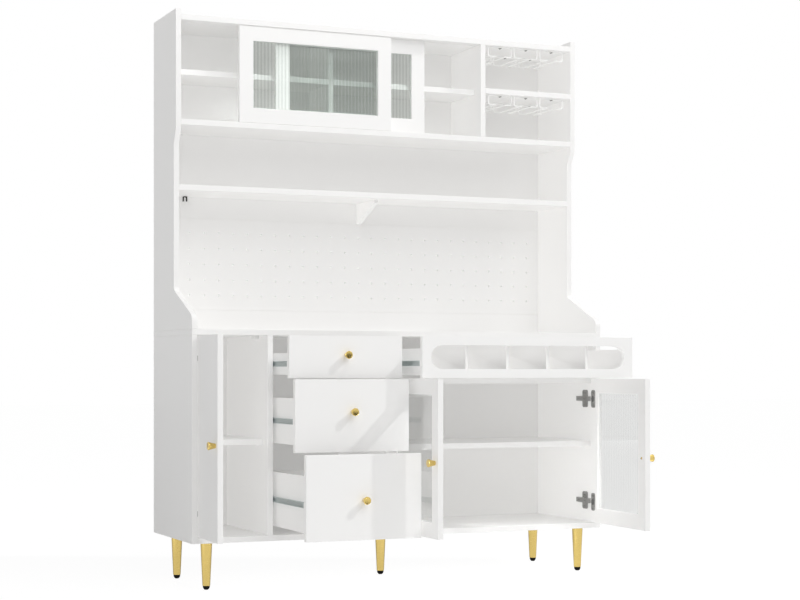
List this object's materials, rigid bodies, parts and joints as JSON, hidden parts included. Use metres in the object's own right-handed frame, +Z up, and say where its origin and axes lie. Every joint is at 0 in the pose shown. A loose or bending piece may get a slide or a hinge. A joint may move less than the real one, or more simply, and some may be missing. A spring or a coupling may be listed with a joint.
{
  "type": "china cabinet with wine rack",
  "caption": "Tall white china cabinet: base with plain door, drawers, wine drawer and reeded glass doors, under a pegboard hutch with sliding doors and stemware hangers.",
  "frame": {"origin": "on the floor under the middle of the centre leg, below the middle of the carcass", "axes": "+X to the right as seen from the front, +Y to the back, so the front faces -Y, +Z up"},
  "size_m": [1.4729, 0.8224, 1.854],
  "materials": {
    "lacquer": "white satin lacquer",
    "brass": "brushed gold",
    "wire": "white powder coat",
    "reeded_glass": "clear reeded",
    "black_plastic": "black",
    "grey_plastic": "grey"
  },
  "bodies": {
    "carcass": {"base_left_side": "lacquer", "base_right_side": "lacquer", "base_floor": "lacquer", "worktop": "lacquer", "left_partition": "lacquer", "right_partition": "lacquer", "base_back": "lacquer", "wine_bay_floor": "lacquer", "left_bay_shelf": "lacquer", "right_bay_shelf": "lacquer", "hutch_left_side": "lacquer", "hutch_right_side": "lacquer", "hutch_top": "lacquer", "hutch_floor": "lacquer", "mid_shelf": "lacquer", "hutch_back": "lacquer", "pegboard": "lacquer", "lower_back_rail": "lacquer", "wine_partition": "lacquer", "centre_partition": "lacquer", "upper_shelf_left": "lacquer", "upper_shelf_right": "lacquer", "wine_shelf": "lacquer", "shelf_bracket": "lacquer", "leg_front_left": "brass", "leg_front_right": "brass", "leg_rear_left": "brass", "leg_rear_right": "brass", "leg_centre": "brass", "stemware_hanger_upper_1": "wire", "stemware_hanger_upper_2": "wire", "stemware_hanger_upper_3": "wire", "stemware_hanger_lower_1": "wire", "stemware_hanger_lower_2": "wire", "stemware_hanger_lower_3": "wire", "cable_clip": "black_plastic", "door_catch": "grey_plastic"},
    "left_door": {"left_door_panel": "lacquer", "left_door_knob": "brass"},
    "glass_door_left": {"glass_door_left_frame": "lacquer", "glass_door_left_pane": "reeded_glass", "glass_door_left_knob": "brass"},
    "glass_door_right": {"glass_door_right_frame": "lacquer", "glass_door_right_pane": "reeded_glass", "glass_door_right_knob": "brass"},
    "drawer_1": {"drawer_1_front": "lacquer", "drawer_1_box": "lacquer", "drawer_1_knob": "brass"},
    "drawer_2": {"drawer_2_front": "lacquer", "drawer_2_box": "lacquer", "drawer_2_knob": "brass"},
    "drawer_3": {"drawer_3_front": "lacquer", "drawer_3_box": "lacquer", "drawer_3_knob": "brass"},
    "wine_drawer": {"wine_drawer_front": "lacquer", "wine_drawer_box": "lacquer"},
    "sliding_door_front": {"sliding_door_front_frame": "lacquer", "sliding_door_front_pane": "reeded_glass"},
    "sliding_door_rear": {"sliding_door_rear_frame": "lacquer", "sliding_door_rear_pane": "reeded_glass"}
  },
  "joints": [
    {"name": "left_door_hinge", "type": "hinge", "parent": "carcass", "child": "left_door", "pos_m": [-0.7112, -0.22, 0.171], "axis": [0, 0, -1], "range_deg": [-92, 13]},
    {"name": "glass_door_left_hinge", "type": "hinge", "parent": "carcass", "child": "glass_door_left", "pos_m": [-0.0562, -0.22, 0.171], "axis": [0, 0, -1], "range_deg": [-91, 1]},
    {"name": "glass_door_right_hinge", "type": "hinge", "parent": "carcass", "child": "glass_door_right", "pos_m": [0.7112, -0.22, 0.171], "axis": [0, 0, 1], "range_deg": [-87.5, 17.5]},
    {"name": "drawer_1_runners", "type": "slide", "parent": "carcass", "child": "drawer_1", "axis": [0, -1, 0], "range_m": [-0.143, 0.157]},
    {"name": "drawer_2_runners", "type": "slide", "parent": "carcass", "child": "drawer_2", "axis": [0, -1, 0], "range_m": [-0.196, 0.104]},
    {"name": "drawer_3_runners", "type": "slide", "parent": "carcass", "child": "drawer_3", "axis": [0, -1, 0], "range_m": [-0.292, 0.008]},
    {"name": "wine_drawer_runners", "type": "slide", "parent": "carcass", "child": "wine_drawer", "axis": [0, -1, 0], "range_m": [-0.247, 0.053]},
    {"name": "sliding_door_front_track", "type": "slide", "parent": "carcass", "child": "sliding_door_front", "axis": [1, 0, 0], "range_m": [-0.196, 0.334]},
    {"name": "sliding_door_rear_track", "type": "slide", "parent": "carcass", "child": "sliding_door_rear", "axis": [1, 0, 0], "range_m": [-0.329, 0.201]}
  ]
}
